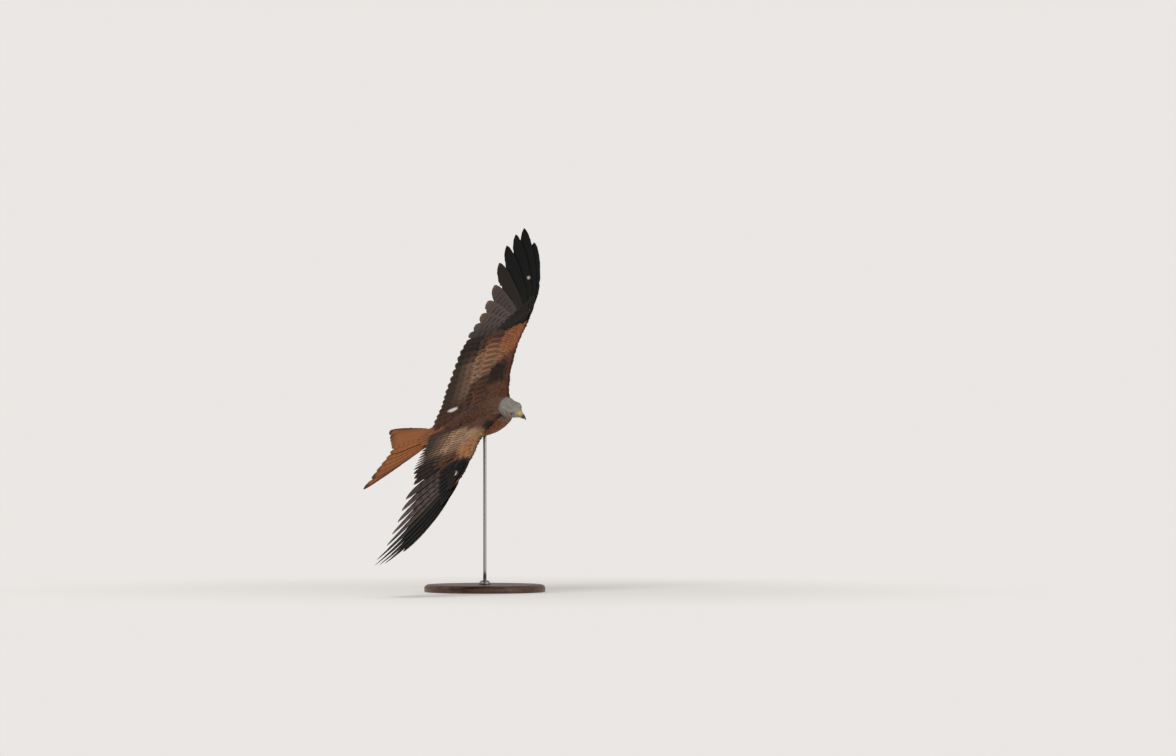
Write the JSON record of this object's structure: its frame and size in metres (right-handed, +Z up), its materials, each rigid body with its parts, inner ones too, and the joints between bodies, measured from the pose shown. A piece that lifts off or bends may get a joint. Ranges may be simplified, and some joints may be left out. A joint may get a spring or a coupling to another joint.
{
  "type": "red kite bird",
  "caption": "Soaring red kite with long angled wings, fingered wing tips and a deeply forked rufous tail, banked on a rod and round base.",
  "frame": {"origin": "centre of the flat underside of the round base, on the line of the rod", "axes": "+Z up, out of the base; the bird's heading seen from above lies between +X and -Y, 34.7 degrees from +X, so that a viewer looking along +Y sees it as in the picture"},
  "size_m": [0.5476, 1.143, 1.0925],
  "materials": {
    "plumage_body": "soft matt feathers",
    "plumage_head": "soft matt feathers",
    "plumage_wing": "matt feathers",
    "plumage_tail": "matt feathers",
    "plumage_thigh": "soft matt feathers",
    "skin": "waxy satin",
    "horn": "smooth semi-gloss",
    "eye": "wet gloss",
    "stand_metal": "satin",
    "stand_wood": "satin varnish"
  },
  "bodies": {
    "root": {"torso": "plumage_body", "neck": "plumage_body", "wing_left": "plumage_wing", "wing_right": "plumage_wing", "tail": "plumage_tail", "head": "plumage_head", "cere": "skin", "bill_upper": "horn", "bill_lower": "horn", "eye_left": "eye", "eye_right": "eye", "thigh_left": "plumage_thigh", "foot_left": "skin", "claw_left_1": "horn", "claw_left_2": "horn", "claw_left_3": "horn", "claw_left_4": "horn", "thigh_right": "plumage_thigh", "foot_right": "skin", "claw_right_1": "horn", "claw_right_2": "horn", "claw_right_3": "horn", "claw_right_4": "horn", "stand_base": "stand_wood", "stand_collar": "stand_metal", "stand_rod": "stand_metal"}
  },
  "joints": []
}
